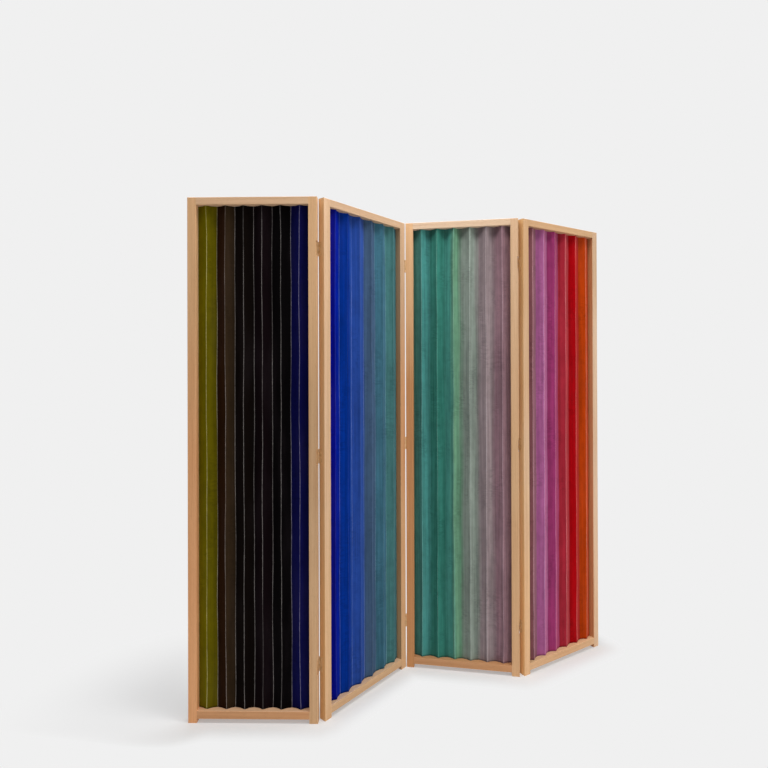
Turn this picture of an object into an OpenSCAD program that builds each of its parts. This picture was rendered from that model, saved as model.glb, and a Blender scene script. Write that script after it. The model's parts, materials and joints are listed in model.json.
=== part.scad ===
// Folding screen of four narrow panels. Each panel is a light wood frame round one sheet of
// dyed paper in upright accordion pleats, and the panels are hung edge to edge on small brass
// butt hinges, so that the screen stands in a zigzag and folds flat.
//
// The first panel lies along X with its front face towards -Y. The origin is on the floor,
// under the middle of the plan that the standing screen covers.

/* [Frame] */
// Width of one panel, over its stiles
panel_w = 446; // [300:1:600]
// Height of one panel
panel_h = 1800; // [1400:10:2100]
// Depth of the frame, front to back
frame_t = 28; // [26:1:40]
// Width of a stile, seen from the front
stile_w = 30; // [26:1:50]
// Height of the top rail
top_rail_h = 26; // [20:1:60]
// Height of the bottom rail
bottom_rail_h = 27; // [20:1:80]
// Height of the bottom rail above the floor
foot_gap = 14; // [6:1:60]
// Radius of the eased edges of the wood
ease_r = 1.5; // [0.6:0.1:2.5]

/* [Standing angles] */
// Turn from panel a to panel b, about a pin behind them
turn_ab = 50.2; // [0:0.1:180]
// Turn from panel b to panel c, about a pin in front of them
turn_bc = 58.9; // [0:0.1:180]
// Turn from panel c to panel d, about a pin behind them
turn_cd = 40.9; // [0:0.1:180]

/* [Pleated paper] */
// Number of front folds in one sheet
pleats = 6; // [3:1:10]
// Depth of the front folds behind the frame's front face
pleat_setback = 10; // [4:0.5:12]
// Depth from the front folds to the back folds
pleat_depth = 14; // [8:0.5:14]
// Thickness of the paper
paper_t = 0.5; // [0.3:0.1:0.8]
// Width of the glued edge that sits in the groove of a stile
paper_tongue = 4; // [2:0.5:6]
// Clearance of the paper in its grooves and against the rails
paper_fit = 0.25; // [0.1:0.05:0.4]

/* [Dowelled joints] */
// Diameter of a dowel
dowel_d = 8; // [6:0.5:8]
// Length of a dowel
dowel_l = 40; // [30:1:44]
// Distance between the two dowels of a joint
dowel_pitch = 12; // [10:0.5:12]
// Chamfer at a dowel's ends
dowel_chamfer = 1; // [0.5:0.1:1.5]
// Clearance of a dowel at its end, for glue
dowel_end_fit = 0.5; // [0.2:0.1:1]
// Clearance round a dowel, on the radius
dowel_fit = 0.05; // [0.02:0.01:0.1]

/* [Hinges] */
// Length of a hinge along its pin
hinge_h = 50; // [40:1:80]
// Height of the top hinge's middle below the top of the panel
hinge_from_top = 175; // [100:5:300]
// Height of the bottom hinge's middle above the floor
hinge_from_floor = 190; // [100:5:300]
// Width of a leaf, from the pin's axis
leaf_w = 16; // [14:0.5:26]
// Thickness of a leaf
leaf_t = 1.3; // [1:0.1:1.4]
// Outer diameter of the barrel
barrel_d = 5; // [4.6:0.1:5.4]
// Height of the barrel's round above the back of its leaf
barrel_proud = 0.1; // [0.05:0.05:0.2]
// Number of knuckles in the barrel, shared by the two leaves
knuckles = 5; // [3:2:7]
// Gap between two knuckles
knuckle_gap = 0.3; // [0.1:0.05:0.5]
// Diameter of the pin
pin_d = 2.4; // [2:0.1:2.6]
// Running clearance of the pin, on the radius
pin_fit = 0.05; // [0.02:0.01:0.1]
// Distance of the pin's axis outside the frame's face
pin_out = 1.5; // [1.3:0.1:2.5]
// Gap between two panels that stand in line
joint_gap = 1; // [0.5:0.1:2]
// Clearance above and below a hinge in its housing
housing_fit = 0.25; // [0.1:0.05:0.5]

/* [Hinge screws] */
// Diameter of the countersunk head
screw_head_d = 5; // [4.6:0.1:5.2]
// Diameter of the shank
screw_d = 2.6; // [2.4:0.1:3]
// Length of a screw
screw_l = 15; // [10:0.5:18]
// Length of the screw's point
screw_point = 3; // [2:0.5:4]
// Width and depth of the slot in the head
screw_slot = 0.5; // [0.4:0.1:0.6]
// Clearance round a screw, on the radius
screw_fit = 0.05; // [0.02:0.01:0.1]
// Distance of the end screws from the hinge's ends
screw_inset = 8; // [6:0.5:10]
// Distance of the end screws from the pin's axis
screw_near = 7; // [6:0.5:8]
// Distance of the middle screw from the pin's axis
screw_far = 11; // [8:0.5:11]

/* [Hidden] */
$fn = 48;
// Overlap of a cut past the face that it opens
over = 1;
// Flats that make up a quarter round
ease_steps = 4;

PANELS = ["a", "b", "c", "d"];
JOINTS = ["ab", "bc", "cd"];
LEVELS = ["top", "middle", "bottom"];
PANEL_PARTS = [
    "left_stile", "right_stile", "top_rail", "bottom_rail", "dowels", "pleated_paper",
    "hinge_screws",
];
HINGE_PARTS = ["housed_leaf", "face_leaf", "pin"];

wood_color = [0.82, 0.66, 0.50];
dowel_color = [0.78, 0.62, 0.46];
brass_color = [0.60, 0.46, 0.26];
paper_colors = [
    [0.10, 0.08, 0.10],
    [0.14, 0.26, 0.50],
    [0.32, 0.46, 0.42],
    [0.62, 0.20, 0.26],
];

// Opening inside a frame
open_l = stile_w;
open_r = panel_w - stile_w;
open_b = foot_gap + bottom_rail_h;
open_t = panel_h - top_rail_h;

// Hinge: back_x is where the back of a leaf lies, from the pin's axis
barrel_r = barrel_d / 2;
pin_r = pin_d / 2;
back_x = barrel_r - barrel_proud;
housing_depth = 2 * back_x - joint_gap;
pin_from_edge = housing_depth - back_x;
knuckle_h = (hinge_h - (knuckles - 1) * knuckle_gap) / knuckles;
hinge_levels = [
    panel_h - hinge_from_top,
    (panel_h - hinge_from_top + hinge_from_floor) / 2,
    hinge_from_floor,
];
screw_spots = [
    [screw_near, screw_inset],
    [screw_far, hinge_h / 2],
    [screw_near, hinge_h - screw_inset],
];
head_depth = (screw_head_d - screw_d) / 2;

// Paper: half_pitch is the width of one face of a pleat, seen from the front
half_pitch = (open_r - open_l) / (2 * pleats);
pleat_angle = atan(pleat_depth / half_pitch);
paper_skew_t = paper_t / cos(pleat_angle);
fold_back = pleat_setback + pleat_depth;

// Plan: the first, third, ... joints have their pins behind the panels, the others in front
turns = [turn_ab, -turn_bc, turn_cd];
function turned(v, a) = [v.x * cos(a) - v.y * sin(a), v.x * sin(a) + v.y * cos(a)];
function pin_at_back(j) = j % 2 == 0;
function pin_y(j) = pin_at_back(j) ? frame_t + pin_out : -pin_out;
function heading(i) = i == 0 ? 0 : heading(i - 1) + turns[i - 1];
function pin_spot(j) =
    corner(j) + turned([panel_w - pin_from_edge, pin_y(j)], heading(j));
function corner(i) =
    i == 0 ? [0, 0] : pin_spot(i - 1) - turned([-back_x, pin_y(i - 1)], heading(i));

// The plan's box: a panel's outline is the rectangle of its edge rounds' centres, grown by ease_r
round_centres = [
    for (i = [0 : 3], x = [ease_r, panel_w - ease_r], y = [ease_r, frame_t - ease_r])
        corner(i) + turned([x, y], heading(i)),
];
plan_x = [for (c = round_centres) c.x];
plan_y = [for (c = round_centres) c.y];
plan_middle = [(min(plan_x) + max(plan_x)) / 2, (min(plan_y) + max(plan_y)) / 2];

// Places a panel's own frame (x along its width, y from front to back, z up) in the screen
module on_panel(i) {
    translate([corner(i).x - plan_middle.x, corner(i).y - plan_middle.y, 0])
        rotate([0, 0, heading(i)])
            children();
}

// ---------------------------------------------------------------- wood

// Waste of a quarter round on an edge that runs up from the origin, with the wood towards +X +Y
module edge_waste(l) {
    quarter = [
        for (k = [0 : ease_steps])
            ease_r * [1 - sin(90 * k / ease_steps), 1 - cos(90 * k / ease_steps)],
    ];
    linear_extrude(l)
        polygon(concat([[-over, -over], [ease_r, -over]], quarter, [[-over, ease_r]]));
}

// Waste along an upright edge at x, on the front and on the back of the frame; wood_side is 1
// where the wood lies towards +X, and -1 where it lies towards -X
module upright_waste(x, z0, z1, wood_side) {
    translate([x, 0, z0])
        scale([wood_side, 1, 1])
            edge_waste(z1 - z0);
    translate([x, frame_t, z0])
        scale([wood_side, -1, 1])
            edge_waste(z1 - z0);
}

// Waste along a level edge at height z, on the front and on the back of the frame
module level_waste(z, x0, x1, wood_side) {
    for (back = [0, 1])
        translate([x0, back * frame_t, z])
            scale([1, 1 - 2 * back, wood_side])
                rotate([90, 0, 90])
                    edge_waste(x1 - x0);
}

// Every eased edge of an assembled frame, worked after the frame is glued up
module eased() {
    difference() {
        children();
        upright_waste(0, -over, panel_h + over, 1);
        upright_waste(panel_w, -over, panel_h + over, -1);
        upright_waste(open_l, open_b, open_t, -1);
        upright_waste(open_r, open_b, open_t, 1);
        level_waste(panel_h, -over, panel_w + over, -1);
        level_waste(open_t, open_l, open_r, 1);
        level_waste(open_b, open_l, open_r, -1);
        level_waste(foot_gap, open_l, open_r, 1);
    }
}

// Places something at each dowel of the rail that is centred on height z
module at_dowels(z) {
    for (x = [open_l, open_r], side = [-0.5, 0.5])
        translate([x, frame_t / 2 + side * dowel_pitch, z])
            rotate([0, 90, 0])
                children();
}

module at_all_dowels() {
    at_dowels(foot_gap + bottom_rail_h / 2)
        children();
    at_dowels(panel_h - top_rail_h / 2)
        children();
}

module dowel_holes() {
    at_all_dowels()
        cylinder(r = dowel_d / 2 + dowel_fit, h = dowel_l + 2 * dowel_end_fit, center = true);
}

// Beech dowels that join the rails to the stiles
module dowels() {
    profile = [
        [0, -dowel_l / 2],
        [dowel_d / 2 - dowel_chamfer, -dowel_l / 2],
        [dowel_d / 2, -dowel_l / 2 + dowel_chamfer],
        [dowel_d / 2, dowel_l / 2 - dowel_chamfer],
        [dowel_d / 2 - dowel_chamfer, dowel_l / 2],
        [0, dowel_l / 2],
    ];
    color(dowel_color)
        at_all_dowels()
            rotate_extrude()
                polygon(profile);
}

// Saw groove that takes the glued edge of the paper, on the inner side of a stile
module paper_groove(x0) {
    translate([x0, fold_back - paper_fit, open_b])
        cube([paper_tongue + paper_fit, paper_skew_t + 2 * paper_fit, open_t - open_b]);
}

// Housings for the hinges in the right stile, open to the front and to the back
module hinge_housings() {
    for (z = hinge_levels)
        translate([panel_w - housing_depth, -over, z - hinge_h / 2 - housing_fit])
            cube([housing_depth + over, frame_t + 2 * over, hinge_h + 2 * housing_fit]);
}

// Left stile of panel i; every panel but the first carries hinge leaves on this edge
module left_stile(i) {
    color(wood_color)
        eased()
            difference() {
                cube([stile_w, frame_t, panel_h]);
                dowel_holes();
                translate([open_l - paper_tongue - paper_fit, 0, 0])
                    paper_groove(0);
                if (i > 0)
                    at_face_leaves(i - 1)
                        screw_holes();
            }
}

// Right stile of panel i; every panel but the last has hinges let into this edge
module right_stile(i) {
    color(wood_color)
        eased()
            difference() {
                translate([open_r, 0, 0])
                    cube([stile_w, frame_t, panel_h]);
                dowel_holes();
                paper_groove(open_r);
                if (i < 3) {
                    hinge_housings();
                    at_housed_leaves(i)
                        screw_holes();
                }
            }
}

module rail(z, h) {
    color(wood_color)
        eased()
            difference() {
                translate([open_l, 0, z])
                    cube([open_r - open_l, frame_t, h]);
                dowel_holes();
            }
}

module top_rail() {
    rail(open_t, top_rail_h);
}

module bottom_rail() {
    rail(foot_gap, bottom_rail_h);
}

// ---------------------------------------------------------------- paper

// One sheet in accordion pleats, with a flat glued edge at each end
module pleated_paper(i) {
    folds = [
        [open_l - paper_tongue, fold_back],
        for (k = [0 : 2 * pleats])
            [open_l + k * half_pitch, k % 2 == 0 ? fold_back : pleat_setback],
        [open_r + paper_tongue, fold_back],
    ];
    last = len(folds) - 1;
    back = [for (k = [last : -1 : 0]) folds[k] + [0, paper_skew_t]];
    color(paper_colors[i])
        translate([0, 0, open_b + paper_fit])
            linear_extrude(open_t - open_b - 2 * paper_fit)
                polygon(concat(folds, back));
}

// ---------------------------------------------------------------- hinges

// Hinge frame: the pin's axis is Z from the hinge's lower end, the leaves run towards -Y,
// and the leaf on the +X side is screwed to the face of the next panel's left stile.

// Places a hinge's frame at joint j in the frame of the panel that has the housings
module at_housed_hinge(j, z) {
    translate([panel_w - pin_from_edge, pin_y(j), z - hinge_h / 2])
        scale([1, pin_at_back(j) ? 1 : -1, 1])
            children();
}

// Places a hinge's frame at joint j in the frame of the panel that swings on it
module at_face_hinge(j, z) {
    translate([-back_x, pin_y(j), z - hinge_h / 2])
        scale([1, pin_at_back(j) ? 1 : -1, 1])
            children();
}

// Places a screw's frame at each screw of a leaf: its head's face at the leaf's open face
// and its point along the way that it is driven
module at_screws() {
    for (spot = screw_spots)
        translate([back_x - leaf_t, -spot.x, spot.y])
            rotate([0, 90, 0])
                children();
}

module at_housed_leaves(j) {
    for (z = hinge_levels)
        at_housed_hinge(j, z)
            scale([-1, 1, 1])
                at_screws()
                    children();
}

module at_face_leaves(j) {
    for (z = hinge_levels)
        at_face_hinge(j, z)
            at_screws()
                children();
}

// Outline of a screw or, grown by the clearance, of its hole
module screw_profile(fit) {
    rotate_extrude()
        polygon([
            [0, 0],
            [screw_head_d / 2 + fit, 0],
            [screw_d / 2 + fit, head_depth],
            [screw_d / 2 + fit, screw_l - screw_point],
            [0, screw_l + fit],
        ]);
}

module screw_holes() {
    screw_profile(screw_fit);
}

module screw() {
    difference() {
        screw_profile(0);
        translate([-screw_head_d, -screw_slot / 2, -over])
            cube([2 * screw_head_d, screw_slot, screw_slot + over]);
    }
}

// Brass screws of every hinge leaf on panel i
module hinge_screws(i) {
    color(brass_color) {
        if (i > 0)
            at_face_leaves(i - 1)
                screw();
        if (i < 3)
            at_housed_leaves(i)
                screw();
    }
}

// A leaf on the +X side with every second knuckle, counted from the first one up
module leaf(first) {
    tab = barrel_r + knuckle_gap;
    difference() {
        union() {
            translate([back_x - leaf_t, -leaf_w, 0])
                cube([leaf_t, leaf_w - tab, hinge_h]);
            for (k = [first : 2 : knuckles - 1])
                translate([0, 0, k * (knuckle_h + knuckle_gap)]) {
                    translate([back_x - leaf_t, -tab, 0])
                        cube([leaf_t, tab, knuckle_h]);
                    cylinder(r = barrel_r, h = knuckle_h);
                }
        }
        translate([0, 0, -over])
            cylinder(r = pin_r + pin_fit, h = hinge_h + 2 * over);
        at_screws()
            screw_holes();
    }
}

module housed_leaf(j, z) {
    color(brass_color)
        at_housed_hinge(j, z)
            scale([-1, 1, 1])
                leaf(0);
}

module face_leaf(j, z) {
    color(brass_color)
        at_face_hinge(j, z)
            leaf(1);
}

module pin(j, z) {
    color(brass_color)
        at_housed_hinge(j, z)
            cylinder(r = pin_r, h = hinge_h);
}

// ---------------------------------------------------------------- assembly

function panel_node(i, part) = str("panel_", PANELS[i], "_", part);
function hinge_node(j, level, part) = str("hinge_", JOINTS[j], "_", LEVELS[level], "_", part);

for (i = [0 : 3]) {
    on_panel(i) left_stile(i);
    on_panel(i) right_stile(i);
    on_panel(i) top_rail();
    on_panel(i) bottom_rail();
    on_panel(i) dowels();
    on_panel(i) pleated_paper(i);
    on_panel(i) hinge_screws(i);
}

for (j = [0 : 2], level = [0 : 2]) {
    z = hinge_levels[level];
    on_panel(j) housed_leaf(j, z);
    on_panel(j + 1) face_leaf(j, z);
    on_panel(j) pin(j, z);
}
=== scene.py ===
"""Folding screen of four light wood frames, each round a sheet of dyed paper in upright pleats."""

import json
import math

import bpy
import numpy as np
from bpy.props import FloatProperty, FloatVectorProperty, PointerProperty
from bpy.types import Operator, Panel, PropertyGroup
from mathutils import Matrix, Vector, noise

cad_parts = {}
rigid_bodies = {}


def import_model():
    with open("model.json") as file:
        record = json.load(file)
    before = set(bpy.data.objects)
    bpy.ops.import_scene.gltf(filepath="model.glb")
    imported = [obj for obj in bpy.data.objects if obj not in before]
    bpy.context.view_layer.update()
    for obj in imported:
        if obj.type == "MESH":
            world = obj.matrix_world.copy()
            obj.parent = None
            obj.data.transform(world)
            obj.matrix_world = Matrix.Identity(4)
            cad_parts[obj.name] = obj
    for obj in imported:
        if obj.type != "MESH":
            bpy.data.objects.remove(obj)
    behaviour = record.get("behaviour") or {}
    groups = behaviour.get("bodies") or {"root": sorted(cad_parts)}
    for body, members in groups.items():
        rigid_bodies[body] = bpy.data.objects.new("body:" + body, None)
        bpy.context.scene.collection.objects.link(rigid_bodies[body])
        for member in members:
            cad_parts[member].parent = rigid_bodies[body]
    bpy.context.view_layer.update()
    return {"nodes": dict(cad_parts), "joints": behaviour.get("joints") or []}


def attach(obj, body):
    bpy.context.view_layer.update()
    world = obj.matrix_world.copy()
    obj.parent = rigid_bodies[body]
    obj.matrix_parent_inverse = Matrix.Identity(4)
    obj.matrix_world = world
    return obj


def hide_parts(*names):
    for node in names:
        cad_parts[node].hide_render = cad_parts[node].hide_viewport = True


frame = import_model()

bl_info = {
    "name": "Pleated Paper Screen",
    "version": (1, 0, 0),
    "blender": (4, 5, 0),
    "location": "View3D > Sidebar > Paper Screen",
    "description": "Dresses a folding screen in light wood, dyed pleated paper and brass",
    "category": "Object",
}

PANELS = ("panel_a", "panel_b", "panel_c", "panel_d")
# The axis of its panel along which the grain of each wooden piece runs
GRAIN_AXES = {
    "left_stile": "Z",
    "right_stile": "Z",
    "top_rail": "X",
    "bottom_rail": "X",
    "dowels": "X",
}
# Boards differ a little in tint. How light each board is for its tint, at a stile's foot, waist and
# head, is partly its own tone and partly painted light and shade. A rail is the same all along
BOARDS = {
    "panel_a": {
        "left_stile": (("honey", 1.24), ("honey", 1.10), ("straw", 1.10)),
        "right_stile": (("straw", 1.01), ("straw", 0.84), ("straw", 1.11)),
        "top_rail": (("blonde", 1.07),),
        "bottom_rail": (("honey", 0.98),),
    },
    "panel_b": {
        "left_stile": (("straw", 1.13), ("blonde", 1.09), ("blonde", 1.10)),
        "right_stile": (("straw", 1.07), ("honey", 0.95), ("blonde", 0.88)),
        "top_rail": (("blonde", 0.95),),
        "bottom_rail": (("straw", 1.00),),
    },
    "panel_c": {
        "left_stile": (("amber", 0.91), ("amber", 0.84), ("straw", 1.11)),
        "right_stile": (("straw", 1.09), ("straw", 0.98), ("blonde", 1.00)),
        "top_rail": (("ash", 1.08),),
        "bottom_rail": (("honey", 0.92),),
    },
    "panel_d": {
        "left_stile": (("straw", 1.23), ("blonde", 1.08), ("straw", 0.95)),
        "right_stile": (("blonde", 1.17), ("ash", 1.14), ("blonde", 0.95)),
        "top_rail": (("straw", 0.92),),
        "bottom_rail": (("straw", 1.10),),
    },
}
DOWEL_BOARD = (("straw", 1.0),)
# Heights in metres at which the foot, the waist and the head of a stile have their own tint and
# painted lightness
TINT_HEIGHTS = (0.1, 0.9, 1.7)
# Painted shade on the side faces of some stiles, which come out deeper in colour than their front:
# what they keep of it
PAINTED_SHADE_ON_SIDES = {
    ("panel_b", "left_stile"): (0.95, 0.90, 0.74),
    ("panel_b", "right_stile"): (0.70, 0.67, 0.66),
    ("panel_d", "left_stile"): (1.0, 1.0, 0.86),
    ("panel_d", "right_stile"): (0.78, 0.56, 0.40),
}
# Painted light on the ledge in front of the paper, which is paler than the front of its bottom
# rail: how much lighter
PAINTED_LIGHT_ON_LEDGES = {
    "panel_a": (1.29, 1.55, 2.00),
    "panel_b": (1.23, 1.32, 1.60),
    "panel_d": (1.22, 1.38, 1.50),
}

PLEATS = 6
FACES = 2 * PLEATS
# Slope of a pleat's faces to the plane of the panel, in degrees. Measured from front to back of
# the panel, paper on that slope is thicker by the factor PAPER_SKEW
FACE_SLOPE = 23.52
PAPER_SKEW = 1 / math.cos(math.radians(FACE_SLOPE))
# How far the ridges of a sheet stand forward at its upper end, in metres
FLARES = {"panel_a": 0.002, "panel_b": 0.002, "panel_c": 0.006, "panel_d": 0.0}

# Dyes of each sheet from its left edge: name, colour as it is written in a paint book (sRGB), and
# the number of pleat faces that it covers
DYES = {
    "panel_a": (
        ("olive", "756C01", 1),
        ("moss", "665C03", 1),
        ("umber", "2A1505", 1),
        ("charcoal", "342617", 1),
        ("soot", "0A0402", 2),
        ("raisin", "0C0306", 2),
        ("lamp black", "020001", 2),
        ("navy", "0C0D4A", 2),
    ),
    "panel_b": (
        ("ultramarine", "020A94", 1),
        ("lapis", "0321A9", 0.9),
        ("royal blue", "0037A0", 1.6),
        ("cobalt", "2A4FA7", 2.5),
        ("slate blue", "476282", 2),
        ("steel teal", "46788D", 2),
        ("lagoon", "4E8484", 2),
    ),
    "panel_c": (
        ("deep teal", "4A8379", 1),
        ("teal", "4E9992", 1),
        ("viridian", "3B8576", 2),
        ("sea green", "53A092", 0.9),
        ("celadon", "73A484", 1.1),
        ("sage", "95A196", 2),
        ("dove", "A29193", 2),
        ("mauve", "A07D86", 2),
    ),
    "panel_d": (
        ("plum", "88545A", 1),
        ("dusk", "845D6F", 0.9),
        ("orchid", "B26498", 2.1),
        ("magenta", "A43B71", 2),
        ("crimson", "B02A3A", 2),
        ("signal red", "B3010C", 2),
        ("tangerine", "C24207", 2),
    ),
}

# How each sheet took its dye, and the light and shade painted on it
#   bleed, wander: how far neighbouring dyes run into each other, and wander, in pleat faces
#   pool, runs: how much painted shade lies in the valleys and below the upper cut end, and how much
#       dye stands in the runs down the sheet
#   crumple: how crumpled the paper is
#   ridge, valley: how rubbed its ridges and its valleys are
#   thin, thin_from: painted light added on the right-hand face of each pleat, most at its ridge,
#       and the fold from which on it is added
#   left_face, right_face: painted light and shade at the valley and at the ridge of such a face
DYEING = {
    "panel_a": {
        "bleed": 0.05,
        "wander": 0.06,
        "pool": 0.0,
        "runs": 0.30,
        "crumple": 0.7,
        "ridge": 0.95,
        "valley": 0.95,
        "thin": (0.0, 0.0, 0.0),
        "thin_from": 0,
        "left_face": (0.82, 1.06),
        "right_face": (0.78, 1.12),
    },
    "panel_b": {
        "bleed": 0.14,
        "wander": 0.35,
        "pool": 0.16,
        "runs": 0.46,
        "crumple": 1.3,
        "ridge": 0.14,
        "valley": 0.50,
        "thin": (0.018, 0.030, 0.050),
        "thin_from": 4,
        "left_face": (1.14, 0.80),
        "right_face": (1.12, 0.96),
    },
    "panel_c": {
        "bleed": 0.30,
        "wander": 0.90,
        "pool": 0.20,
        "runs": 0.48,
        "crumple": 1.2,
        "ridge": 0.38,
        "valley": 0.06,
        "thin": (0.0, 0.0, 0.0),
        "thin_from": 0,
        "left_face": (1.10, 0.80),
        "right_face": (0.86, 1.12),
    },
    "panel_d": {
        "bleed": 0.06,
        "wander": 0.20,
        "pool": 0.14,
        "runs": 0.34,
        "crumple": 0.6,
        "ridge": 0.88,
        "valley": 0.06,
        "thin": (0.125, 0.044, 0.035),
        "thin_from": 0,
        "left_face": (0.98, 1.02),
        "right_face": (1.02, 1.10),
    },
}


def paint(code):
    """Linear colour of an sRGB hex code."""
    parts = [int(code[i : i + 2], 16) / 255 for i in (0, 2, 4)]
    return tuple(c / 12.92 if c <= 0.04045 else ((c + 0.055) / 1.055) ** 2.4 for c in parts)


def dye_name(panel, dye):
    """Name of the setting that holds a dye's colour."""
    return f"{panel}_{dye.replace(' ', '_')}"


# ---------------------------------------------------------------- what the frame says


def panel_headings():
    """Angle of each panel from X. Its joint's limit nearer to rest has the two panels in line."""
    headings = {PANELS[0]: 0.0}
    for joint in frame["joints"]:
        in_line = min(joint["range_deg"], key=abs)
        headings[joint["child"]] = headings[joint["parent"]] - math.radians(in_line)
    return headings


HEADINGS = panel_headings()


def turned_box(node, heading):
    """Lowest and highest corner of a node along the directions of its own panel."""
    turn = Matrix.Rotation(-heading, 3, "Z")
    points = np.array([turn @ v.co for v in frame["nodes"][node].data.vertices])
    return Vector(points.min(0)), Vector(points.max(0))


class PanelFrame:
    """Where a panel stands, and its opening. Local x runs across it, and y from front to back."""

    def __init__(self, panel):
        self.heading = HEADINGS[panel]
        left_stile, right_stile, paper = (
            turned_box(f"{panel}_{part}", self.heading)
            for part in ("left_stile", "right_stile", "pleated_paper")
        )
        corner = left_stile[0]
        self.corner = corner
        self.matrix = Matrix.Rotation(self.heading, 4, "Z") @ Matrix.Translation(corner)
        self.width = right_stile[1].x - corner.x
        self.depth = left_stile[1].y - corner.y
        self.left = left_stile[1].x - corner.x
        self.right = right_stile[0].x - corner.x
        self.paper_low = paper[0] - corner
        self.paper_high = paper[1] - corner


# ---------------------------------------------------------------- shader maths


class Wire:
    """An output socket in a node tree, so that shader maths reads as an expression."""

    def __init__(self, recipe, socket):
        self.recipe = recipe
        self.socket = socket

    def math(self, operation, *others):
        values = dict(enumerate((self, *others)))
        return self.recipe.node("ShaderNodeMath", {"operation": operation}, values)

    def output(self, name):
        """Another output of the same node."""
        return Wire(self.recipe, self.socket.node.outputs[name])

    def __add__(self, other):
        return self.math("ADD", other)

    def __sub__(self, other):
        return self.math("SUBTRACT", other)

    def __mul__(self, other):
        return self.math("MULTIPLY", other)

    def __truediv__(self, other):
        return self.math("DIVIDE", other)

    def __rsub__(self, other):
        return self.recipe.node("ShaderNodeMath", {"operation": "SUBTRACT"}, {0: other, 1: self})

    __radd__ = __add__
    __rmul__ = __mul__


class Recipe:
    """A material or world, whose nodes are added one expression at a time."""

    def __init__(self, owner):
        owner.use_nodes = True
        self.owner = owner
        self.tree = owner.node_tree
        self.tree.nodes.clear()

    def node(self, kind, settings=None, sockets=None):
        """Adds a node: first its settings, then the values or links of its sockets."""
        node = self.tree.nodes.new(kind)
        for name, value in (settings or {}).items():
            if name == "stops":
                self.set_stops(node.color_ramp, value)
            else:
                setattr(node, name, value)
        for name, value in (sockets or {}).items():
            self.plug(node.inputs[name], value)
        return Wire(self, next(s for s in node.outputs if s.enabled)) if node.outputs else None

    @staticmethod
    def set_stops(ramp, stops):
        for position, _ in stops[2:]:
            ramp.elements.new(position)
        for element, (position, color) in zip(ramp.elements, stops):
            element.position = position
            element.color = (*color, 1)

    def mix(self, factor, a, b, blend="MIX"):
        """Mixes two colours."""
        colors = {
            name: value if isinstance(value, Wire) else (*value, 1)
            for name, value in (("A", a), ("B", b))
        }
        node = self.tree.nodes.new("ShaderNodeMix")
        node.data_type = "RGBA"
        node.blend_type = blend
        for socket in node.inputs:
            if socket.type == "RGBA" and socket.name in colors:
                self.plug(socket, colors[socket.name])
            if socket.name == "Factor" and socket.type == "VALUE":
                self.plug(socket, factor)
        return Wire(self, next(s for s in node.outputs if s.type == "RGBA"))

    def plug(self, socket, value):
        if isinstance(value, Wire):
            self.tree.links.new(value.socket, socket)
        else:
            socket.default_value = value

    def steps(self, value, low, high, to_low=0.0, to_high=1.0):
        """Takes value smoothly from to_low at low to to_high at high."""
        sockets = {"Value": value, "From Min": low, "From Max": high}
        sockets.update({"To Min": to_low, "To Max": to_high})
        return self.node("ShaderNodeMapRange", {"interpolation_type": "SMOOTHSTEP"}, sockets)

    def place(self):
        """Place on the object, in metres."""
        return self.node("ShaderNodeTexCoord").output("Object")

    def vector(self, x, y, z):
        return self.node("ShaderNodeCombineXYZ", None, {"X": x, "Y": y, "Z": z})

    def split(self, vector):
        """The x, y and z of a vector."""
        parts = self.node("ShaderNodeSeparateXYZ", None, {"Vector": vector})
        return [parts.output(axis) for axis in "XYZ"]

    def length(self, vector):
        measure = self.node("ShaderNodeVectorMath", {"operation": "LENGTH"}, {0: vector})
        return measure.output("Value")

    def noise(self, vector, scale, detail=2.0, roughness=0.5):
        sockets = {"Vector": vector, "Scale": scale, "Detail": detail, "Roughness": roughness}
        return self.node("ShaderNodeTexNoise", None, sockets)


def new_material(name):
    return Recipe(bpy.data.materials.new(name))


def finish_surface(recipe, color, roughness, height, bump, **constants):
    """Principled surface with a bump of that depth in metres."""
    normal = recipe.node(
        "ShaderNodeBump", None, {"Height": height, "Distance": bump, "Strength": 1.0}
    )
    sockets = {"Base Color": color, "Roughness": roughness, "Normal": normal}
    sockets.update({name.replace("_", " "): value for name, value in constants.items()})
    surface = recipe.node("ShaderNodeBsdfPrincipled", None, sockets)
    recipe.node("ShaderNodeOutputMaterial", None, {"Surface": surface})
    return recipe.owner


def wear(obj, material):
    """Gives an object that one material."""
    obj.data.materials.clear()
    obj.data.materials.append(material)


# ---------------------------------------------------------------- finishes


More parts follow.
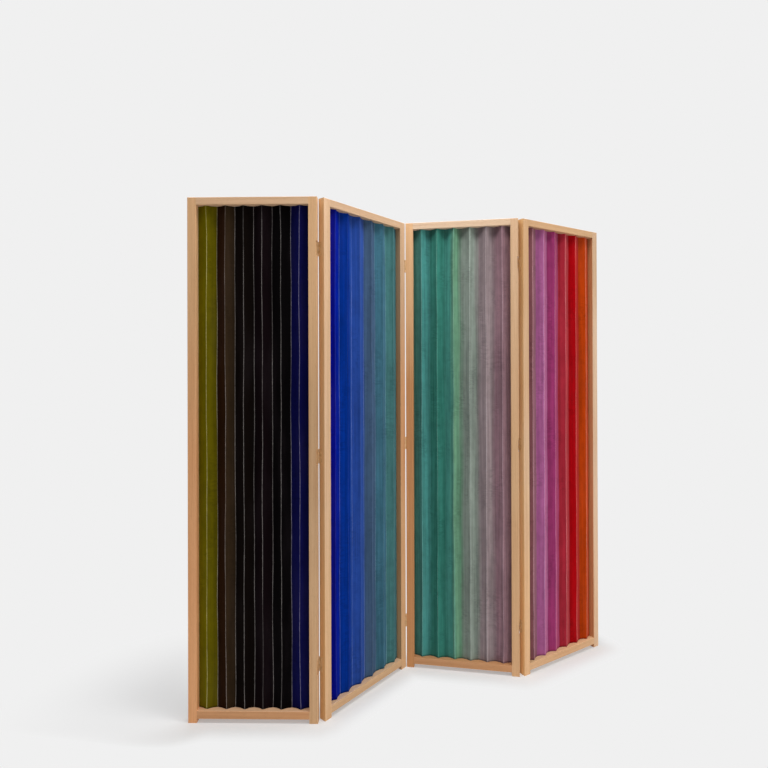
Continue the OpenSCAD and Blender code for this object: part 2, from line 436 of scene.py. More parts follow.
def wood(name, heading, grain_axis, seed, settings, tints_and_painted_light, side_shade, ledge_light):
    """Straight-grained pale wood under a satin oil, its grain along that axis of its panel."""
    recipe = new_material(name)
    coordinates = recipe.node("ShaderNodeTexCoord")

    def turned(kind):
        """Coordinates of that kind, along the directions of the panel."""
        sockets = {"Vector": coordinates.output(kind), "Rotation": (0, 0, -heading)}
        return recipe.split(recipe.node("ShaderNodeMapping", {"vector_type": "POINT"}, sockets))

    x, y, z = turned("Object")
    facing_x, _, facing_z = turned("Normal")
    along, wide = (z, x) if grain_axis == "Z" else (x, z)
    offset = 3.7 * seed

    def grain(across, length, detail=3.0):
        """Noise with features so many to the metre across the grain and along it."""
        vector = recipe.vector(wide * across + offset, y * across - offset, along * length + offset)
        return recipe.noise(vector, 1.0, detail, 0.6)

    bands = recipe.steps(grain(70, 1.6), 0.34, 0.68)
    streaks = recipe.steps(grain(330, 5.0), 0.42, 0.72)
    pores = recipe.steps(grain(1500, 60.0, 1.0), 0.60, 0.78)
    cloud = recipe.noise(coordinates.output("Object"), 2.3)

    # Tints from foot to head, partly painted light and shade; painted shade on the sides and
    # painted light on the ledge
    foot, waist, head = tints_and_painted_light if len(tints_and_painted_light) == 3 else 3 * tints_and_painted_light
    foot_height, waist_height, head_height = TINT_HEIGHTS
    height_of_tint = z + (cloud - 0.5) * 0.8
    light = recipe.mix(recipe.steps(height_of_tint, foot_height, waist_height), foot, waist)
    light = recipe.mix(recipe.steps(height_of_tint, waist_height, head_height), light, head)
    # Painted shade on the side faces
    sideways = recipe.steps(facing_x.math("ABSOLUTE"), 0.6, 0.8)
    light = recipe.mix(sideways, light, side_shade, "MULTIPLY")
    # Painted light on the upward faces of the ledge
    upward = recipe.steps(facing_z, 0.6, 0.8)
    light = recipe.mix(upward, light, ledge_light, "MULTIPLY")

    # Late wood in bands and streaks, pores, and warmer stretches
    late = bands * 0.55 + streaks * 0.35
    color = recipe.mix(late, light, tuple(settings.grain_shade), "MULTIPLY")
    color = recipe.mix(pores * 0.45, color, (0.5, 0.45, 0.4), "MULTIPLY")
    blush = recipe.steps(cloud, 0.3, 0.7, 0.0, 0.5)
    color = recipe.mix(blush, color, tuple(settings.blush_shade), "MULTIPLY")
    roughness = 0.44 + streaks * 0.10 + pores * 0.12
    height = 1 - pores - streaks * 0.25
    return finish_surface(
        recipe, color, roughness, height, bump=0.00006, Specular_IOR_Level=0.32
    )


class DyedPaper:
    """Hand-dyed paper, mottled and streaked down its length, rubbed pale along its creases, and
    painted with light and shade on its faces, in its valleys and at its cut ends.
    """

    # Distances from a cut end, in metres, where painted shade starts and where it is deepest
    UPPER_END = (0.055, 0.025)
    LOWER_END = (0.008, 0.003)

    def __init__(self, panel, seed, sheet, settings, dyes):
        self.panel = panel
        self.seed = seed
        self.sheet = sheet
        self.settings = settings
        self.dyes = dyes
        self.manner = DYEING[panel]
        self.recipe = new_material(f"{panel}_dyed_paper")
        flat = self.recipe.node("ShaderNodeUVMap", {"uv_map": "flat"})
        self.across, self.up, _ = self.recipe.split(flat)
        # Counted in faces: a whole number is a fold, and an odd one a ridge
        self.position = (self.across - sheet.tongue) / sheet.face_width
        # 0 in the valleys, 1 on the ridges
        self.ridge = self.position.math("PINGPONG", 1.0)
        self.clouds = self.recipe.steps(self.cloud(11, 4.0), 0.32, 0.70)
        self.runs = self.recipe.steps(self.cloud(120, 2.2, 4.0, 2.0), 0.34, 0.68)
        self.tooth = self.cloud(800, 600, 2.0)

    def cloud(self, across_scale, up_scale, detail=3.0, shift=0.0):
        """Noise with features so many to the metre across the sheet and up it."""
        x = self.across * across_scale + self.seed
        y = self.up * up_scale + shift
        return self.recipe.noise(self.recipe.vector(x, y, 5.3 * self.seed), 1.0, detail, 0.55)

    def deepened(self, color, amount, keep=0.5):
        """The colour keeps that share of itself where the amount is 1."""
        return self.recipe.mix(amount, color, (keep, keep, keep), "MULTIPLY")

    def dye_stripes(self):
        """The sheet's dyes in a row. They meet in soft lines that wander round the folds."""
        wander, bleed = self.manner["wander"], self.manner["bleed"]
        drift = (self.cloud(7, 1.3, 2.0) - 0.5) * wander
        drift = drift + (self.cloud(130, 1.1, 3.0, 7.0) - 0.5) * wander
        stops, edge = [], 0
        for name, _, count in DYES[self.panel]:
            color = getattr(self.dyes, dye_name(self.panel, name))
            start = edge + bleed if edge else 0
            edge += count
            stops += [(start / FACES, color), ((edge - bleed) / FACES, color)]
        place = (self.position + drift) / FACES
        return self.recipe.node("ShaderNodeValToRGB", {"stops": stops}, {"Fac": place})

    def pooled_dye(self):
        """Painted shade: in the valleys, deepest in the valleys below the upper cut end, and along
        the lower cut end.
        """
        recipe, pool = self.recipe, self.manner["pool"]
        valleys = recipe.steps(self.ridge, 0.0, 0.6, pool, 0.0)
        # Painted shadow of the top rail, in the valleys below the upper cut end
        start, deepest = (self.sheet.high.z - distance for distance in self.UPPER_END)
        upper_end = recipe.steps(self.up, start, deepest)
        upper_end = upper_end * recipe.steps(self.ridge, 0.3, 0.9, 1.7 * pool, 0.0)
        # A painted shade line along the lower cut end, where the paper meets the bottom rail
        start, deepest = (self.sheet.low.z + distance for distance in self.LOWER_END)
        lower_end = recipe.steps(self.up, start, deepest, 0.0, 0.45)
        return valleys + lower_end + upper_end

    def mottled(self, color):
        """Dye in clouds, runs and patches, over the fine tooth of the paper, and painted shade in
        the valleys and at the cut ends.
        """
        patches = self.recipe.steps(self.cloud(48, 26, 4.0, 9.0), 0.40, 0.66)
        color = self.deepened(color, self.clouds * 0.28)
        color = self.deepened(color, self.runs * self.manner["runs"], 0.45)
        color = self.deepened(color, patches * 0.22)
        color = self.deepened(color, self.tooth * 0.20)
        # Painted shade in the valleys and at the cut ends
        return self.deepened(color, self.pooled_dye(), 0.2)

    def face_shading_ramp(self, face):
        """Painted light and shade on such a face, from its valley to its ridge."""
        at_valley, at_ridge = self.manner[face]
        sockets = {"Value": self.ridge, "To Min": at_valley, "To Max": at_ridge}
        return self.recipe.node("ShaderNodeMapRange", None, sockets)

    def painted_face_shading(self, color):
        """Painted light and shade on the left-hand and right-hand faces, painted light added on the
        right-hand faces, and a painted sheen in hazy patches.
        """
        recipe, manner = self.recipe, self.manner
        right_hand = self.position.math("MODULO", 2.0).math("GREATER_THAN", 1.0)
        # Painted light added on the right-hand face of each pleat, most at its ridge
        thin = right_hand * self.position.math("GREATER_THAN", manner["thin_from"])
        color = recipe.mix(thin * (0.4 + self.ridge * 0.6), color, manner["thin"], "ADD")
        # Painted light and shade across each face, from its valley to its ridge
        left, right = self.face_shading_ramp("left_face"), self.face_shading_ramp("right_face")
        sockets = {0: color, "Scale": left + right_hand * (right - left)}
        color = recipe.node("ShaderNodeVectorMath", {"operation": "SCALE"}, sockets)
        # A painted sheen in hazy patches
        haze = recipe.steps(self.cloud(15, 3.0, 4.0, 11.0), 0.44, 0.72)
        return recipe.mix(haze, color, (0.004, 0.003, 0.0035), "ADD")

    def rubbed(self, color):
        """Creases rubbed pale: a narrow broken line down each fold, over a faint wider band that is
        partly rubbed paper and partly a painted highlight.
        """
        recipe, reach = self.recipe, self.settings.crease_line
        fraction = self.position.math("FRACT")
        distance = fraction.math("MINIMUM", 1 - fraction) * self.sheet.face_width
        line = recipe.steps(distance, reach, 0.3 * reach)
        rubbed_band_and_highlight = recipe.steps(distance, 5 * reach, reach)
        fold = self.position.math("ROUND")
        along_fold = recipe.vector(fold * 3.1 + self.seed, self.up * 3.0, fold)
        steady = recipe.steps(recipe.noise(along_fold, 1.0, 4.0, 0.6), 0.32, 0.62)
        broken = recipe.steps(self.cloud(0.0, 120.0), 0.36, 0.60)
        worn = recipe.steps(self.ridge, 0.4, 0.6, self.manner["valley"], self.manner["ridge"])
        thinned = recipe.mix(1.0, color, (0.78, 0.78, 0.78), "DODGE")
        pale = recipe.mix(0.5, thinned, self.settings.core_color, "SCREEN")
        # The faint wider band: partly rubbed paper, partly a painted highlight along the fold
        color = recipe.mix(rubbed_band_and_highlight * (0.4 + steady * 0.6) * worn * 0.08, color, pale)
        rub = line * (0.36 + steady * 0.84) * (0.55 + broken * 0.45) * worn
        return recipe.mix(rub, color, pale)

    def wrinkles(self):
        """Soft wrinkles across a pleat here and there."""
        recipe = self.recipe
        crest = recipe.steps((self.cloud(22, 60, 2.0, 13.0) - 0.5).math("ABSOLUTE"), 0.09, 0.0)
        return crest * recipe.steps(self.cloud(24, 6.0, 2.0, 17.0), 0.48, 0.68)

    def material(self):
        """The finished paper: dye with painted light and shade, rubbed creases, soft wrinkles with
        painted shade along them, and crumples.
        """
        color = self.rubbed(self.painted_face_shading(self.mottled(self.dye_stripes())))
        wrinkles = self.wrinkles() * 0.30
        # Painted shade along the wrinkles
        color = self.deepened(color, wrinkles, 0.45)
        crumples = (self.cloud(60, 34, 4.0, 4.0) + wrinkles) * self.manner["crumple"]
        height = crumples + self.runs * 0.12 + self.tooth * 0.10
        roughness = 0.62 + self.clouds * 0.12
        return finish_surface(
            self.recipe, color, roughness, height, bump=0.0012, Specular_IOR_Level=0.03
        )


def shifted_place(recipe, seed):
    """Place on a piece, shifted so that no two pieces are marked alike."""
    sockets = {"Vector": recipe.place(), "Location": (seed, 0, -seed)}
    return recipe.node("ShaderNodeMapping", None, sockets)


def brass(name, seed, settings, polish):
    """Rolled brass, dulled in patches, and less so the more polish it has."""
    recipe = new_material(name)
    place = shifted_place(recipe, seed)
    x, y, z = recipe.split(place)
    patches = recipe.steps(recipe.noise(place, 95.0, 4.0, 0.6), 0.40, 0.68)
    lines = recipe.noise(recipe.vector(x * 2600, y * 2600, z * 90), 1.0)
    color = recipe.mix(patches * (0.75 - polish), settings.color, settings.tarnish_color)
    roughness = 0.42 + patches * 0.16 + lines * 0.10
    return finish_surface(
        recipe, color, roughness, lines, bump=0.00003, Metallic=0.3, Specular_IOR_Level=0.5
    )


def steel(name, seed):
    """Drawn steel of the hinge pins, under a dull film in places."""
    recipe = new_material(name)
    film = recipe.steps(recipe.noise(shifted_place(recipe, seed), 160.0, 3.0), 0.35, 0.70)
    clean, dull = (0.56, 0.55, 0.53), (0.36, 0.34, 0.31)
    color = recipe.mix(film, clean, dull)
    roughness = 0.28 + film * 0.2
    return finish_surface(
        recipe, color, roughness, film, bump=0.00002, Metallic=1.0, Specular_IOR_Level=0.5
    )


# ---------------------------------------------------------------- pleated sheet


def waves(rng, along, lengths, reach):
    """Sum of slow waves with random phases: a line drawn by hand strays like this."""
    total = np.zeros_like(along)
    for length in lengths:
        phase, share = rng.uniform(0, 2 * math.pi), rng.uniform(0.4, 1.0)
        total += share * np.sin(2 * math.pi * along / (length * rng.uniform(0.8, 1.25)) + phase)
    return reach * total / len(lengths)


class PleatedSheet:
    """Points of one pleated sheet in its panel's own frame."""

    # Where the points of a pleat face lie, as shares of its width
    FACE_SHARES = (0.10, 0.22, 0.36, 0.50, 0.64, 0.78, 0.90)
    # Rows of points, in metres: their step, how far from a cut end it starts, and the rows there
    ROW_STEP = 0.012
    END_MARGIN = 0.010
    END_ROWS = (0.0, 0.0015, 0.003, 0.005, 0.0075)
    # Lengths in metres of the waves in which a fold strays, ripples and sinks, and a face bows
    STRAY_WAVES = (1.1, 0.7, 0.35)
    RIPPLE_WAVES = (0.13, 0.06)
    SINK_WAVES = (0.9, 0.4, 0.17)
    BOW_WAVES = (0.8, 0.33, 0.12)
    # How far a cut end is felt, in metres: in stray folds, flared ridges and pinched faces
    STRAY_END = 0.035
    FLARE_END = 0.07
    PINCH_END = 0.016
    # Dents to the metre across the sheet and up it, and the points by a glued edge without them
    DENTS_ACROSS = 26
    DENTS_UP = 9
    GLUED_POINTS = 3

    def __init__(self, place, seed, settings, flare):
        self.place = place
        self.flare = flare
        self.settings = settings
        self.rng = np.random.default_rng(seed)
        self.seed = seed
        self.thickness = settings.thickness
        self.low, self.high = place.paper_low, place.paper_high
        self.front = self.low.y
        self.back = self.high.y - self.thickness * PAPER_SKEW
        self.half_pitch = (place.right - place.left) / FACES
        self.face_width = math.hypot(self.half_pitch, self.back - self.front)
        self.tongue = place.left - self.low.x

    def rows(self):
        first, last = self.low.z + self.END_MARGIN, self.high.z - self.END_MARGIN
        inner = np.arange(first, last + 1e-6, self.ROW_STEP)
        ends = np.array(self.END_ROWS)
        return np.unique(np.concatenate([self.low.z + ends, inner, self.high.z - ends]).round(6))

    def near_end(self, z, reach):
        """1 at a cut end, and soon nothing beyond that reach from it."""
        return np.exp(-((np.minimum(z - self.low.z, self.high.z - z) / reach) ** 2))

    def fold_lines(self, z):
        """Place of each fold at each height, as (fold, row, x and y)."""
        stray = self.settings.stray
        flared = self.flare * np.exp(-(((self.high.z - z) / self.FLARE_END) ** 2))
        folds = []
        for k in range(FACES + 1):
            is_ridge = k % 2 == 1
            x = np.full_like(z, self.place.left + k * self.half_pitch)
            y = np.full_like(z, self.front if is_ridge else self.back)
            if 0 < k < FACES:
                x += waves(self.rng, z, self.STRAY_WAVES, stray)
                x += waves(self.rng, z, self.RIPPLE_WAVES, 0.15 * stray)
                x += self.rng.uniform(-0.5, 0.5) * stray
                x += self.near_end(z, self.STRAY_END) * self.rng.uniform(-0.8, 0.8) * stray
                sink = np.abs(waves(self.rng, z, self.SINK_WAVES, 0.45 * stray))
                y += sink if is_ridge else -sink
                if is_ridge:
                    y -= flared
            folds.append(np.stack([x, y], axis=-1))
        return np.array(folds)

    def bows(self, z):
        """How far a face stands off the flat between its folds, at each of its FACE_SHARES."""
        pinch = self.settings.pinch * self.near_end(z, self.PINCH_END)
        slow = waves(self.rng, z, self.BOW_WAVES, self.settings.bow)
        arches = (math.sin(math.pi * share) for share in self.FACE_SHARES)
        return [arch * (slow + pinch * arch) for arch in arches]

    def points(self):
        """Front points as (row, column, xyz), and the flat place of each, in metres."""
        z = self.rows()
        folds = self.fold_lines(z)
        round_reach = self.settings.crease_radius
        columns, flat = [], []

        def add(x_y, distance):
            columns.append(np.column_stack([x_y, z]))
            flat.append(np.column_stack([np.full_like(z, distance), z]))

        edge_y = np.full_like(z, self.back)
        add(np.column_stack([np.full_like(z, self.low.x), edge_y]), 0.0)
        for k in range(FACES + 1):
            distance = self.tongue + k * self.face_width
            if 0 < k < FACES:
                before = folds[k - 1] - folds[k]
                after = folds[k + 1] - folds[k]
                before *= round_reach / np.linalg.norm(before, axis=1, keepdims=True)
                after *= round_reach / np.linalg.norm(after, axis=1, keepdims=True)
                # Three points round the crease, of which the middle one lies in from the fold
                add(folds[k] + before, distance - round_reach)
                add(folds[k] + 0.25 * (before + after), distance)
                add(folds[k] + after, distance + round_reach)
            else:
                add(folds[k], distance)
            if k == FACES:
                break
            across = folds[k + 1] - folds[k]
            normal = np.stack([-across[:, 1], across[:, 0]], axis=-1)
            normal /= np.linalg.norm(normal, axis=1, keepdims=True)
            for share, stand_off in zip(self.FACE_SHARES, self.bows(z)):
                add(
                    folds[k] + share * across + stand_off[:, None] * normal,
                    distance + share * self.face_width,
                )
        flat_width = 2 * self.tongue + FACES * self.face_width
        add(np.column_stack([np.full_like(z, self.high.x), edge_y]), flat_width)
        front = np.array(columns).transpose(1, 0, 2)
        return self.dented(front), np.array(flat).transpose(1, 0, 2)

    def dented(self, front):
        """Adds small soft dents, and none by the glued edges."""
        rows, columns, _ = front.shape
        for r in range(rows):
            for c in range(self.GLUED_POINTS, columns - self.GLUED_POINTS):
                x, y, z = front[r, c]
                spot = Vector((x * self.DENTS_ACROSS + self.seed, z * self.DENTS_UP, self.seed))
                dent = noise.noise(spot) + 0.5 * noise.noise(spot * 2.7)
                front[r, c, 1] += self.settings.dent * dent
        return front

    def mesh(self, name):
        """Closed thin solid, with the sheet's flat place as its UV map."""
        front, flat = self.points()
        tangent = np.gradient(front[..., :2], axis=1)
        tangent /= np.linalg.norm(tangent, axis=2, keepdims=True)
        back = front.copy()
        back[..., 0] -= tangent[..., 1] * self.thickness
        back[..., 1] += tangent[..., 0] * self.thickness
        rows, columns, _ = front.shape
        index = np.arange(rows * columns).reshape(rows, columns)
        behind = index + rows * columns

        def quads(a, b, c, d):
            return np.stack([a, b, c, d], axis=-1).reshape(-1, 4)

        faces = [
            quads(index[:-1, :-1], index[:-1, 1:], index[1:, 1:], index[1:, :-1]),
            quads(behind[:-1, :-1], behind[1:, :-1], behind[1:, 1:], behind[:-1, 1:]),
            quads(index[:-1, 0], index[1:, 0], behind[1:, 0], behind[:-1, 0]),
            quads(index[:-1, -1], behind[:-1, -1], behind[1:, -1], index[1:, -1]),
            quads(index[0, :-1], behind[0, :-1], behind[0, 1:], index[0, 1:]),
            quads(index[-1, :-1], index[-1, 1:], behind[-1, 1:], behind[-1, :-1]),
        ]
        points = np.concatenate([front.reshape(-1, 3), back.reshape(-1, 3)])
        mesh = bpy.data.meshes.new(name)
        mesh.from_pydata(points.tolist(), [], np.concatenate(faces).tolist())
        corners = np.zeros(len(mesh.loops), np.int32)
        mesh.loops.foreach_get("vertex_index", corners)
        flat_points = np.concatenate([flat.reshape(-1, 2)] * 2)
        uv_map = mesh.uv_layers.new(name="flat")
        uv_map.data.foreach_set("uv", flat_points[corners].astype(np.float32).ravel())
        mesh.polygons.foreach_set("use_smooth", np.ones(len(mesh.polygons), bool))
        mesh.transform(self.place.matrix)
        mesh.validate()
        return mesh


# ---------------------------------------------------------------- settings


class WoodSettings(PropertyGroup):
    amber: FloatVectorProperty(
        name="Amber",
        description="Deepest tint of the boards",
        subtype="COLOR",
        default=paint("D89A62"),
        min=0,
        max=1,
    )
    honey: FloatVectorProperty(
        name="Honey",
        description="Warm tint of the boards",
        subtype="COLOR",
        default=paint("D8A070"),
        min=0,
        max=1,
    )
    straw: FloatVectorProperty(
        name="Straw",
        description="Middle tint of the boards",
        subtype="COLOR",
        default=paint("D9B084"),
        min=0,
        max=1,
    )
    blonde: FloatVectorProperty(
        name="Blonde",
        description="Pale tint of the boards",
        subtype="COLOR",
        default=paint("D9B693"),
        min=0,
        max=1,
    )
    ash: FloatVectorProperty(
        name="Ash",
        description="Palest tint of the boards",
        subtype="COLOR",
        default=paint("D9BC9F"),
        min=0,
        max=1,
    )
    grain_shade: FloatVectorProperty(
        name="Grain",
        description="How much of each colour the late wood keeps",
        subtype="COLOR",
        default=(0.82, 0.74, 0.66),
        min=0,
        max=1,
    )
    blush_shade: FloatVectorProperty(
        name="Blush",
        description="How much of each colour the warmer stretches of a board keep",
        subtype="COLOR",
        default=(0.98, 0.90, 0.84),
        min=0,
        max=1,
    )


class PaperSettings(PropertyGroup):
    thickness: FloatProperty(
        name="Thickness",
        description="Thickness of the paper",
        subtype="DISTANCE",
        unit="LENGTH",
        default=0.0005,
        min=0.0002,
        max=0.001,
    )
    stray: FloatProperty(
        name="Stray",
        description="How far a fold strays from its true line",
        subtype="DISTANCE",
        unit="LENGTH",
        default=0.0022,
        min=0,
        max=0.004,
    )
    bow: FloatProperty(
        name="Bow",
        description="How far a pleat face stands off the flat",
        subtype="DISTANCE",
        unit="LENGTH",
        default=0.0008,
        min=0,
        max=0.003,
    )
    pinch: FloatProperty(
        name="Pinch",
        description="How far the faces are drawn in at the cut ends",
        subtype="DISTANCE",
        unit="LENGTH",
        default=0.0022,
        min=0,
        max=0.003,
    )
    dent: FloatProperty(
        name="Dent",
        description="Depth of the soft dents in the paper",
        subtype="DISTANCE",
        unit="LENGTH",
        default=0.0005,
        min=0,
        max=0.002,
    )
    crease_radius: FloatProperty(
        name="Crease Radius",
        description="Distance from a fold at which the paper starts to turn",
        subtype="DISTANCE",
        unit="LENGTH",
        default=0.0009,
        min=0.0005,
        max=0.002,
    )
    crease_line: FloatProperty(
        name="Crease Line",
        description="Half the width of the rubbed line along a fold",
        subtype="DISTANCE",
        unit="LENGTH",
        default=0.0007,
        min=0.0002,
        max=0.003,
    )
    core_color: FloatVectorProperty(
        name="Core",
        description="Undyed paper that shows where a crease is rubbed",
        subtype="COLOR",
        default=paint("D6D0CC"),
        min=0,
        max=1,
    )


class BrassSettings(PropertyGroup):
    color: FloatVectorProperty(
        name="Brass",
        description="Clean brass of the hinges",
        subtype="COLOR",
        default=paint("DCB98A"),
        min=0,
        max=1,
    )
    tarnish_color: FloatVectorProperty(
        name="Tarnish",
        description="Dulled brass",
        subtype="COLOR",
        default=paint("BE9768"),
        min=0,
        max=1,
    )


class StageSettings(PropertyGroup):
    backdrop_color: FloatVectorProperty(
        name="Backdrop",
        description="Even pale grey behind and under the screen",
        subtype="COLOR",
        default=paint("F0F0F0"),
        min=0,
        max=1,
    )
    ambient: FloatProperty(
        name="Ambient",
        description="Strength of the light that comes from all round",
        default=0.25,
        min=0,
        max=2,
    )


def dye_property(panel, name, code):
    """One dye of a sheet as a colour that can be changed."""
    return FloatVectorProperty(
        name=f"{name.capitalize()} ({panel[-1].upper()})",
        description=f"Dye of the {name} pleats in {panel.replace('_', ' ')}",
        subtype="COLOR",
        default=paint(code),
        min=0,
        max=1,
    )


class DyeSettings(PropertyGroup):
    __annotations__ = {
        dye_name(panel, name): dye_property(panel, name, code)
        for panel, dyes in DYES.items()
        for name, code, _ in dyes
    }


class ScreenSettings(PropertyGroup):
    wood: PointerProperty(type=WoodSettings)
    paper: PointerProperty(type=PaperSettings)
    dyes: PointerProperty(type=DyeSettings)
    brass: PointerProperty(type=BrassSettings)
    stage: PointerProperty(type=StageSettings)


# ---------------------------------------------------------------- stage

# Camera: its place, its turn, tilt and roll in degrees, its sensor and lens in millimetres, and
# its shift as a share of the frame
CAMERA_PLACE = (-0.0941, -2.1077, 1.2129)
CAMERA_ANGLES = (0.931, 0.158, -0.173)
SENSOR_WIDTH = 36.0
LENS = 25.202
CAMERA_SHIFT = -0.023

# Lamps: name, place, aim, width, height, power in watts
LAMPS = (
    ("right_softbox", (2.6, -1.6, 1.3), (0, 0, 0.9), 1.4, 1.8, 24.5),
    ("ceiling_softbox", (0, 0.2, 3.2), (0, 0.1, 0), 2.5, 2.0, 60),
    ("overhead_strip", (0, -0.65, 3.3), (0, 0, 0.9), 2.4, 0.6, 33),
    ("low_strip", (0, -2.4, 0.3), (0, 0, 0.4), 3.0, 0.4, 8),
)

# Floor, with lengths in metres. Its shadow is narrow all round the screen, and wider by
# LEFT_SHADOW_WIDTH beside the left end: fully up to the first x there, and not from the second on
FLOOR_HALF_SIDE = 9.0
FLOOR_COLOR = (0.85, 0.85, 0.85)
SHADOW_WIDTH = 0.10
LEFT_SHADOW_WIDTH = 0.60
LEFT_SHADOW_X = (-1.0, -0.7)
# How far before the front of the first panel the wider shadow starts, and has its full width
LEFT_SHADOW_START = (0.16, 0.02)
# Share of its width up to which the shadow is full, and how much backdrop it lets through there
SHADOW_CORE = 0.15
SHADOW_GLOW = 0.33
# Distances from the screen's middle between which all shadow fades
FLOOR_FADE = (1.1, 1.8)


class FOLDINGSCREEN_OT_stage(Operator):
    """Floor, backdrop, soft lamps and a camera at a standing viewer's place"""

    bl_idname = "folding_screen.stage"
    bl_label = "Stage"

    def execute(self, context):
        settings = context.scene.folding_screen.stage
        context.scene.view_settings.view_transform = "Standard"
        self.camera(context.scene)
        self.lamps(context.scene)
        self.world(context.scene, settings)
        self.floor(context.scene, settings)
        return {"FINISHED"}

    def camera(self, scene):
        data = bpy.data.cameras.new("camera")
        data.sensor_width = SENSOR_WIDTH
        data.lens = LENS
        data.shift_y = CAMERA_SHIFT
        camera = bpy.data.objects.new("camera", data)
        turn, tilt, roll = (math.radians(angle) for angle in CAMERA_ANGLES)
        camera.matrix_world = (
            Matrix.Translation(CAMERA_PLACE)
            @ Matrix.Rotation(turn, 4, "Z")
            @ Matrix.Rotation(math.radians(90) + tilt, 4, "X")
            @ Matrix.Rotation(roll, 4, "Z")
        )
        scene.collection.objects.link(camera)
        scene.camera = camera

    def lamps(self, scene):
        for name, place, aim, width, height, power in LAMPS:
            data = bpy.data.lights.new(name, "AREA")
            data.shape = "RECTANGLE"
            data.size, data.size_y = width, height
            data.energy = power
            lamp = bpy.data.objects.new(name, data)
            lamp.location = place
            lamp.rotation_mode = "QUATERNION"
            direction = Vector(aim) - Vector(place)
            lamp.rotation_quaternion = direction.to_track_quat("-Z", "Y")
            scene.collection.objects.link(lamp)

    def world(self, scene, settings):
        world = bpy.data.worlds.new("studio")
        scene.world = world
        recipe = Recipe(world)
        seen = self.seen_ray(recipe)
        light = recipe.node(
            "ShaderNodeBackground", None, {"Color": (1, 1, 1, 1), "Strength": settings.ambient}
        )
        shown = recipe.node(
            "ShaderNodeBackground", None, {"Color": (*settings.backdrop_color, 1), "Strength": 1.0}
        )
        both = recipe.node("ShaderNodeMixShader", None, {0: seen, 1: light, 2: shown})
        recipe.node("ShaderNodeOutputWorld", None, {"Surface": both})

    def seen_ray(self, recipe):
        """1 on rays that carry the backdrop to the eye, straight or by a mirror."""
        path = recipe.node("ShaderNodeLightPath")
        camera = path.output("Is Camera Ray")
        glossy = path.output("Is Glossy Ray")
        clear = path.output("Is Transmission Ray")
        return camera.math("MAXIMUM", glossy).math("MAXIMUM", clear)

    def floor(self, scene, settings):
        """Pale floor that keeps the screen's soft shadow and fades into the backdrop."""
        half = FLOOR_HALF_SIDE
        mesh = bpy.data.meshes.new("floor")
        corners = [(-half, -half, 0), (half, -half, 0), (half, half, 0), (-half, half, 0)]
        mesh.from_pydata(corners, [], [(0, 1, 2, 3)])
        floor = bpy.data.objects.new("floor", mesh)
        scene.collection.objects.link(floor)

        recipe = new_material("studio_floor")
        seen = self.seen_ray(recipe)
        color = recipe.mix(seen, settings.backdrop_color, FLOOR_COLOR)
        plain = recipe.node("ShaderNodeBsdfDiffuse", None, {"Color": color})
        shown = recipe.node(
            "ShaderNodeEmission", None, {"Color": (*settings.backdrop_color, 1), "Strength": 1.0}
        )
        factor = seen * self.faded(recipe)
        both = recipe.node("ShaderNodeMixShader", None, {0: factor, 1: plain, 2: shown})
        recipe.node("ShaderNodeOutputMaterial", None, {"Surface": both})
        wear(floor, recipe.owner)

    def faded(self, recipe):
        """How much of the floor is plain backdrop: all of it, apart from the shadow."""
        place = recipe.place()
        x, y, _ = recipe.split(place)
        front = PanelFrame(PANELS[0]).corner.y
        start, full = (front - distance for distance in LEFT_SHADOW_START)
        left_end = recipe.steps(x, *LEFT_SHADOW_X, 1.0, 0.0) * recipe.steps(y, start, full)
        width = SHADOW_WIDTH + left_end * LEFT_SHADOW_WIDTH
        share = self.distance_to_screen(recipe, place) / width
        near = recipe.steps(share, SHADOW_CORE, 1.0, SHADOW_GLOW, 1.0)
        far = recipe.steps(recipe.length(place), *FLOOR_FADE)
        return near.math("MAXIMUM", far)

    def distance_to_screen(self, recipe, place):
        """Distance from a place on the floor to the nearest panel."""
        nearest = None
        for panel in PANELS:
            stand = PanelFrame(panel)
            local = recipe.node(
                "ShaderNodeMapping",
                {"vector_type": "POINT"},
                {"Vector": place, "Rotation": (0, 0, -stand.heading), "Location": -stand.corner},
            )
            x, y, _ = recipe.split(local)
            beyond = [
                ((reading - size / 2).math("ABSOLUTE") - size / 2).math("MAXIMUM", 0)
                for reading, size in ((x, stand.width), (y, stand.depth))
            ]
            distance = recipe.length(recipe.vector(*beyond, 0))
            nearest = distance if nearest is None else nearest.math("MINIMUM", distance)
        return nearest


# ---------------------------------------------------------------- pieces of the screen


class FOLDINGSCREEN_OT_frames(Operator):
    """Grain and oil on the stiles and rails of the four frames, and on their dowels"""

    bl_idname = "folding_screen.frames"
    bl_label = "Wood Frames"

    def execute(self, context):
        settings = context.scene.folding_screen.wood
        pieces = [(panel, part) for panel in PANELS for part in GRAIN_AXES]
        for seed, (panel, part) in enumerate(pieces, start=1):
            self.dress(panel, part, seed, settings)
        return {"FINISHED"}

    def dress(self, panel, part, seed, settings):
        node = f"{panel}_{part}"
        heading, axis = HEADINGS[panel], GRAIN_AXES[part]
        board = BOARDS[panel].get(part, DOWEL_BOARD)
        # A board's tones are partly painted light and shade; its sides get painted shade, and a
        # bottom rail's ledge painted light
        tints_and_painted_light = tuple(tuple(c * tone_and_painted_light for c in getattr(settings, tint)) for tint, tone_and_painted_light in board)
        plain = (1.0, 1.0, 1.0)
        side_shade = PAINTED_SHADE_ON_SIDES.get((panel, part), plain)
        ledge_light = PAINTED_LIGHT_ON_LEDGES.get(panel, plain) if part == "bottom_rail" else plain
        material = wood(f"{node}_wood", heading, axis, seed, settings, tints_and_painted_light, side_shade, ledge_light)
        wear(frame["nodes"][node], material)


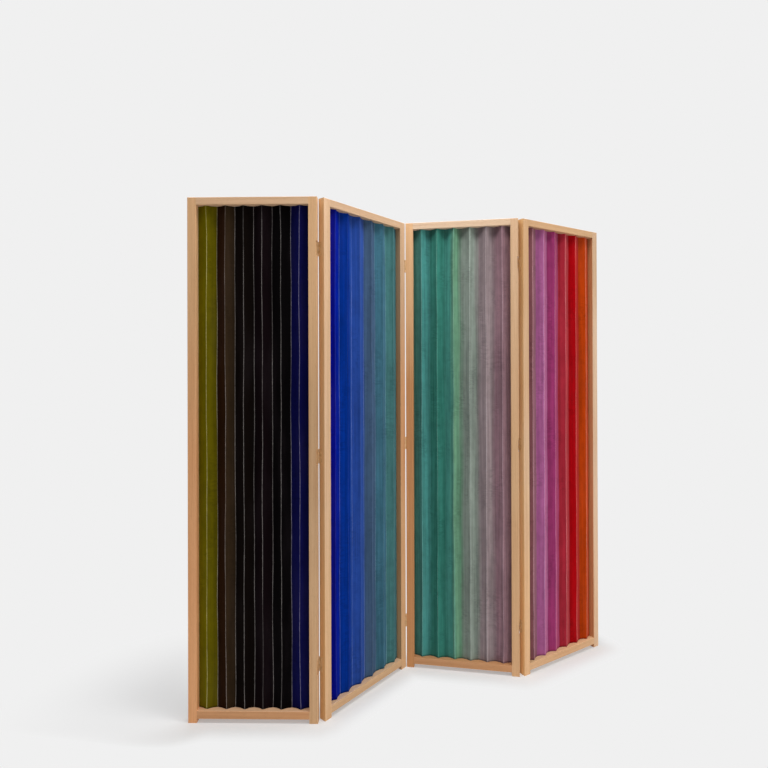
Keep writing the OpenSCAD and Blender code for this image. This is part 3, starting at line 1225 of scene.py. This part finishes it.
class FOLDINGSCREEN_OT_paper(Operator):
    """The four sheets of dyed paper, folded by hand into upright pleats"""

    bl_idname = "folding_screen.paper"
    bl_label = "Pleated Paper"

    def execute(self, context):
        settings = context.scene.folding_screen
        for seed, panel in enumerate(PANELS, start=1):
            sheet = PleatedSheet(PanelFrame(panel), seed, settings.paper, FLARES[panel])
            piece = bpy.data.objects.new(f"{panel}_pleats", sheet.mesh(f"{panel}_pleats"))
            context.scene.collection.objects.link(piece)
            paper = DyedPaper(panel, seed, sheet, settings.paper, settings.dyes)
            wear(piece, paper.material())
            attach(piece, panel)
            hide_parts(f"{panel}_pleated_paper")
        return {"FINISHED"}


class FOLDINGSCREEN_OT_hinges(Operator):
    """Brass on the hinge leaves and screws, and steel on the pins"""

    bl_idname = "folding_screen.hinges"
    bl_label = "Hinges"

    def execute(self, context):
        settings = context.scene.folding_screen.brass
        fittings = [n for n in frame["nodes"] if n.startswith("hinge_") or n.endswith("_screws")]
        for seed, node in enumerate(sorted(fittings), start=1):
            if node.endswith("_pin"):
                material = steel(f"{node}_steel", seed)
            else:
                polish = 0.25 if node.endswith("_screws") else 0.0
                material = brass(f"{node}_brass", seed, settings, polish)
            wear(frame["nodes"][node], material)
        return {"FINISHED"}


# ---------------------------------------------------------------- sidebar and registration


OPERATORS = (
    FOLDINGSCREEN_OT_stage,
    FOLDINGSCREEN_OT_frames,
    FOLDINGSCREEN_OT_paper,
    FOLDINGSCREEN_OT_hinges,
)


class FOLDINGSCREEN_PT_sidebar(Panel):
    """Lists the steps that dress the screen, and their settings"""

    bl_label = "Pleated Paper Screen"
    bl_idname = "FOLDINGSCREEN_PT_sidebar"
    bl_space_type = "VIEW_3D"
    bl_region_type = "UI"
    bl_category = "Paper Screen"

    def draw(self, context):
        settings = context.scene.folding_screen
        for operator in OPERATORS:
            self.layout.operator(operator.bl_idname)
        for group in (settings.wood, settings.paper, settings.dyes, settings.brass, settings.stage):
            box = self.layout.box()
            for name in group.bl_rna.properties.keys():
                if name not in ("rna_type", "name"):
                    box.prop(group, name)


SETTINGS = (
    WoodSettings,
    PaperSettings,
    BrassSettings,
    StageSettings,
    DyeSettings,
    ScreenSettings,
)
CLASSES = (*SETTINGS, *OPERATORS, FOLDINGSCREEN_PT_sidebar)


def register():
    for cls in CLASSES:
        bpy.utils.register_class(cls)
    bpy.types.Scene.folding_screen = PointerProperty(type=ScreenSettings)


def unregister():
    del bpy.types.Scene.folding_screen
    for cls in reversed(CLASSES):
        bpy.utils.unregister_class(cls)


def main():
    register()
    bpy.ops.folding_screen.stage()
    bpy.ops.folding_screen.frames()
    bpy.ops.folding_screen.paper()
    bpy.ops.folding_screen.hinges()


if __name__ == "__main__":
    main()
